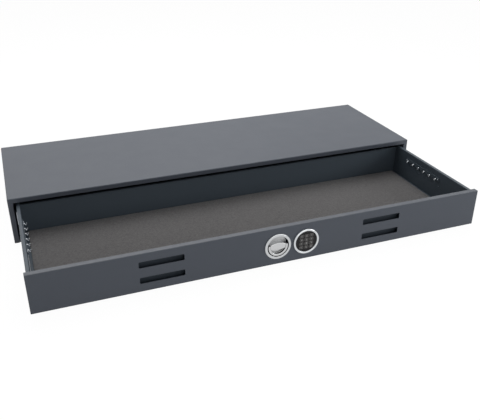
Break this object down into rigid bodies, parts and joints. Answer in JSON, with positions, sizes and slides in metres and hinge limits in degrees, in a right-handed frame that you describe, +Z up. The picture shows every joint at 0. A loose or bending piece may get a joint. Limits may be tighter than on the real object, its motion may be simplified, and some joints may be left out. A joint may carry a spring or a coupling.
{
  "type": "drawer safe",
  "caption": "Wide, low steel safe for under a desk: a full-width drawer on telescopic slides, locked by side bolts, a round turning handle and a round keypad.",
  "frame": {"origin": "middle of the casing's underside", "axes": "+X along the front to the right, +Y from the front to the back, +Z up; the drawer is stored open"},
  "size_m": [1.5, 0.919, 0.161],
  "materials": {
    "shell_paint": "satin graphite-grey powder coat",
    "inner_paint": "satin dark grey powder coat",
    "zinc_steel": "bright zinc plate",
    "satin_chrome": "satin chrome",
    "brass": "machined",
    "black_plastic": "fine grain",
    "key_rubber": "soft matt",
    "felt": "short needled felt"
  },
  "bodies": {
    "casing": {"casing_wrap": "shell_paint", "casing_front_frame": "shell_paint", "casing_base": "shell_paint", "casing_back": "shell_paint", "frame_top_rail": "shell_paint", "frame_bottom_rail": "shell_paint", "right_frame_post": "shell_paint", "left_frame_post": "shell_paint", "right_slide_bracket": "shell_paint", "left_slide_bracket": "shell_paint", "right_slide_outer": "zinc_steel", "left_slide_outer": "zinc_steel"},
    "drawer": {"drawer_front_skin": "shell_paint", "drawer_front_rim": "shell_paint", "drawer_front_inner": "inner_paint", "right_drawer_wall": "inner_paint", "left_drawer_wall": "inner_paint", "drawer_back": "inner_paint", "drawer_floor": "inner_paint", "floor_stiffener_front": "inner_paint", "floor_stiffener_rear": "inner_paint", "floor_mat": "felt", "right_slide_inner": "zinc_steel", "left_slide_inner": "zinc_steel", "right_key_rail": "zinc_steel", "left_key_rail": "zinc_steel", "right_rod_guide": "black_plastic", "left_rod_guide": "black_plastic", "handle_ring": "satin_chrome", "spindle_bush": "brass", "keypad_bezel": "satin_chrome", "keypad_face": "black_plastic", "lock_cover": "inner_paint", "lock_body": "black_plastic", "battery_box": "black_plastic", "lock_cable": "black_plastic"},
    "right_slide_carriage": {"right_slide_middle": "zinc_steel"},
    "left_slide_carriage": {"left_slide_middle": "zinc_steel"},
    "turning_handle": {"turn_handle": "satin_chrome", "handle_spindle": "zinc_steel", "drive_pinion": "brass"},
    "right_boltwork": {"right_bolt": "zinc_steel", "right_rack": "zinc_steel"},
    "left_boltwork": {"left_bolt": "zinc_steel", "left_rack": "zinc_steel"},
    "lock_plunger": {"lock_plunger": "zinc_steel"},
    "key_1_cap": {"key_1": "key_rubber"},
    "key_2_cap": {"key_2": "key_rubber"},
    "key_3_cap": {"key_3": "key_rubber"},
    "key_4_cap": {"key_4": "key_rubber"},
    "key_5_cap": {"key_5": "key_rubber"},
    "key_6_cap": {"key_6": "key_rubber"},
    "key_7_cap": {"key_7": "key_rubber"},
    "key_8_cap": {"key_8": "key_rubber"},
    "key_9_cap": {"key_9": "key_rubber"},
    "key_10_cap": {"key_10": "key_rubber"},
    "key_11_cap": {"key_11": "key_rubber"},
    "key_12_cap": {"key_12": "key_rubber"}
  },
  "joints": [
    {"name": "drawer_slide", "type": "slide", "parent": "casing", "child": "drawer", "axis": [0, 1, 0], "range_m": [0, 0.443]},
    {"name": "right_slide_run", "type": "slide", "parent": "casing", "child": "right_slide_carriage", "axis": [0, 1, 0], "range_m": [0, 0.2216]},
    {"name": "left_slide_run", "type": "slide", "parent": "casing", "child": "left_slide_carriage", "axis": [0, 1, 0], "range_m": [0, 0.2216]},
    {"name": "handle_turn", "type": "hinge", "parent": "drawer", "child": "turning_handle", "pos_m": [0, -0.678, 0.079], "axis": [0, 1, 0], "range_deg": [0, 90]},
    {"name": "right_bolt_throw", "type": "slide", "parent": "drawer", "child": "right_boltwork", "axis": [1, 0, 0], "range_m": [0, 0.0165]},
    {"name": "left_bolt_throw", "type": "slide", "parent": "drawer", "child": "left_boltwork", "axis": [-1, 0, 0], "range_m": [0, 0.0165]},
    {"name": "plunger_throw", "type": "slide", "parent": "drawer", "child": "lock_plunger", "axis": [0, -1, 0], "range_m": [0, 0.0064]},
    {"name": "key_1_press", "type": "slide", "parent": "drawer", "child": "key_1_cap", "axis": [0, 1, 0], "range_m": [0, 0.001], "stiffness_N_per_m": 400},
    {"name": "key_2_press", "type": "slide", "parent": "drawer", "child": "key_2_cap", "axis": [0, 1, 0], "range_m": [0, 0.001], "stiffness_N_per_m": 400},
    {"name": "key_3_press", "type": "slide", "parent": "drawer", "child": "key_3_cap", "axis": [0, 1, 0], "range_m": [0, 0.001], "stiffness_N_per_m": 400},
    {"name": "key_4_press", "type": "slide", "parent": "drawer", "child": "key_4_cap", "axis": [0, 1, 0], "range_m": [0, 0.001], "stiffness_N_per_m": 400},
    {"name": "key_5_press", "type": "slide", "parent": "drawer", "child": "key_5_cap", "axis": [0, 1, 0], "range_m": [0, 0.001], "stiffness_N_per_m": 400},
    {"name": "key_6_press", "type": "slide", "parent": "drawer", "child": "key_6_cap", "axis": [0, 1, 0], "range_m": [0, 0.001], "stiffness_N_per_m": 400},
    {"name": "key_7_press", "type": "slide", "parent": "drawer", "child": "key_7_cap", "axis": [0, 1, 0], "range_m": [0, 0.001], "stiffness_N_per_m": 400},
    {"name": "key_8_press", "type": "slide", "parent": "drawer", "child": "key_8_cap", "axis": [0, 1, 0], "range_m": [0, 0.001], "stiffness_N_per_m": 400},
    {"name": "key_9_press", "type": "slide", "parent": "drawer", "child": "key_9_cap", "axis": [0, 1, 0], "range_m": [0, 0.001], "stiffness_N_per_m": 400},
    {"name": "key_10_press", "type": "slide", "parent": "drawer", "child": "key_10_cap", "axis": [0, 1, 0], "range_m": [0, 0.001], "stiffness_N_per_m": 400},
    {"name": "key_11_press", "type": "slide", "parent": "drawer", "child": "key_11_cap", "axis": [0, 1, 0], "range_m": [0, 0.001], "stiffness_N_per_m": 400},
    {"name": "key_12_press", "type": "slide", "parent": "drawer", "child": "key_12_cap", "axis": [0, 1, 0], "range_m": [0, 0.001], "stiffness_N_per_m": 400}
  ],
  "couplings": [
    {"joint": "right_slide_run", "follows": "drawer_slide", "ratio": 0.5},
    {"joint": "left_slide_run", "follows": "drawer_slide", "ratio": 0.5},
    {"joint": "right_bolt_throw", "follows": "handle_turn", "m_per_rad": 0.0105},
    {"joint": "left_bolt_throw", "follows": "handle_turn", "m_per_rad": 0.0105}
  ]
}
